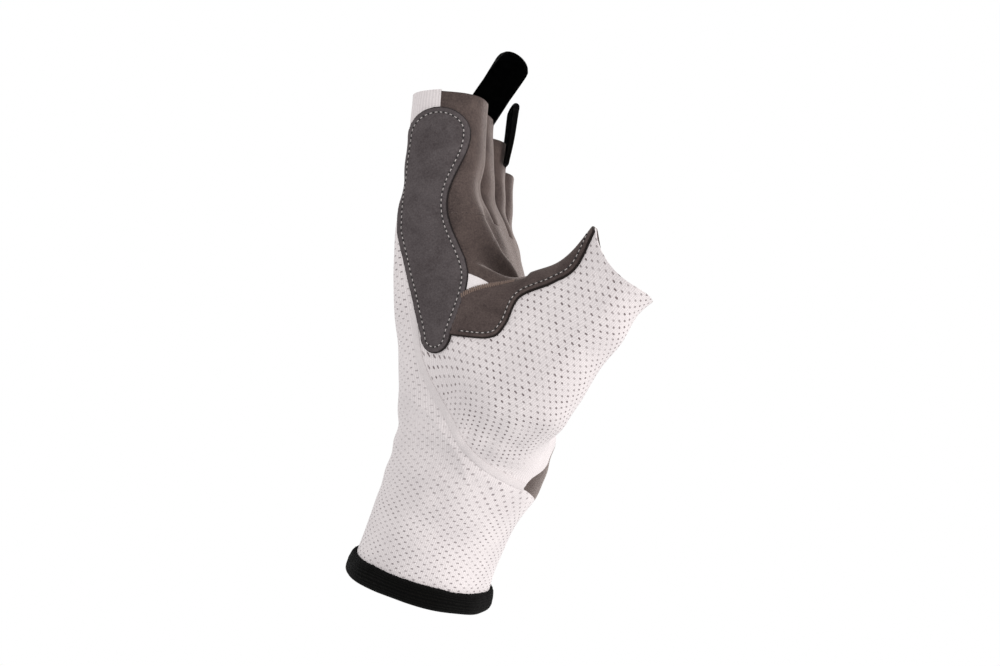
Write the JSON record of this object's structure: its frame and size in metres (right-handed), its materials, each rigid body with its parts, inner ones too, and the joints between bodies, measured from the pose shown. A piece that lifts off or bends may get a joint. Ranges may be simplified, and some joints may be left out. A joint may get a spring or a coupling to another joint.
{
  "type": "half-finger stick glove",
  "caption": "Half-finger sports glove for the left hand: perforated mesh back and wrist sleeve, suede palm and finger fronts, index patch, open thumb and webbing pull tabs.",
  "frame": {"origin": "centre of the wrist opening, in the plane of its rim", "axes": "+Z from the wrist opening towards the fingers, +X towards the palm side, -Y towards the thumb side"},
  "size_m": [0.121, 0.1031, 0.2318],
  "materials": {
    "mesh_fabric": "white polyester athletic mesh with small staggered slots",
    "palm_suede": "warm grey synthetic suede, short nap",
    "patch_suede": "dark grey synthetic suede with light contrast stitching",
    "cuff_knit": "black brushed knit binding",
    "webbing": "black woven webbing",
    "white_knit": "white stretch knit"
  },
  "bodies": {
    "gauntlet": {"cuff_binding": "cuff_knit", "sleeve_back": "mesh_fabric", "sleeve_front": "mesh_fabric", "wrist_crease": "mesh_fabric"},
    "hand": {"back_panel": "mesh_fabric", "palm_panel": "palm_suede", "index_patch_lower": "patch_suede", "web_gusset": "white_knit", "thumb_root": "mesh_fabric", "thumb_strip_root": "patch_suede"},
    "index_finger": {"index_knuckle": "palm_suede", "index_back": "mesh_fabric", "index_front": "palm_suede", "index_thumb_side": "palm_suede", "index_outer_side": "palm_suede", "index_patch_crease": "patch_suede", "index_patch_upper": "patch_suede"},
    "middle_finger": {"middle_knuckle": "palm_suede", "middle_back": "mesh_fabric", "middle_front": "palm_suede", "middle_thumb_side": "palm_suede", "middle_outer_side": "palm_suede"},
    "ring_finger": {"ring_knuckle": "palm_suede", "ring_back": "mesh_fabric", "ring_front": "palm_suede", "ring_thumb_side": "palm_suede", "ring_outer_side": "palm_suede"},
    "little_finger": {"little_knuckle": "palm_suede", "little_back": "mesh_fabric", "little_front": "palm_suede", "little_thumb_side": "palm_suede", "little_outer_side": "palm_suede"},
    "thumb": {"thumb_mesh": "mesh_fabric", "thumb_suede": "palm_suede", "thumb_strip": "patch_suede"},
    "middle_tab": {"tab_middle": "webbing"},
    "ring_tab": {"tab_ring": "webbing"}
  },
  "joints": [
    {"name": "wrist_flex", "type": "hinge", "parent": "gauntlet", "child": "hand", "pos_m": [0.007, 0, 0.054], "axis": [0, 1, 0], "range_deg": [-30, 45], "deforming": ["wrist_crease"]},
    {"name": "index_flex", "type": "hinge", "parent": "hand", "child": "index_finger", "pos_m": [-0.01389, -0.0253, 0.1592], "axis": [0.0223, 0.9945, -0.1021], "range_deg": [-15, 60], "deforming": ["index_knuckle", "index_patch_crease"]},
    {"name": "middle_flex", "type": "hinge", "parent": "hand", "child": "middle_finger", "pos_m": [-0.01335, -0.00119, 0.15672], "axis": [0.0223, 0.9945, -0.1021], "range_deg": [-15, 60], "deforming": ["middle_knuckle"]},
    {"name": "ring_flex", "type": "hinge", "parent": "hand", "child": "ring_finger", "pos_m": [-0.01281, 0.02293, 0.15424], "axis": [0.0223, 0.9945, -0.1021], "range_deg": [-15, 60], "deforming": ["ring_knuckle"]},
    {"name": "little_flex", "type": "hinge", "parent": "hand", "child": "little_finger", "pos_m": [-0.01227, 0.04705, 0.15177], "axis": [0.0223, 0.9945, -0.1021], "range_deg": [-15, 60], "deforming": ["little_knuckle"]},
    {"name": "thumb_swing", "type": "hinge", "parent": "hand", "child": "thumb", "pos_m": [0.02509, -0.02607, 0.0978], "axis": [0.0223, 0.9945, -0.1021], "range_deg": [-16, 20], "deforming": ["thumb_root", "thumb_strip_root"]},
    {"name": "middle_tab_fold", "type": "hinge", "parent": "middle_finger", "child": "middle_tab", "pos_m": [-0.0145, 0.00668, 0.20399], "axis": [0.7333, 0.6302, -0.2551], "range_deg": [-55, 50]},
    {"name": "ring_tab_fold", "type": "hinge", "parent": "ring_finger", "child": "ring_tab", "pos_m": [-0.00557, 0.02489, 0.18443], "axis": [0.0223, 0.9945, -0.1021], "range_deg": [0, 110]}
  ]
}
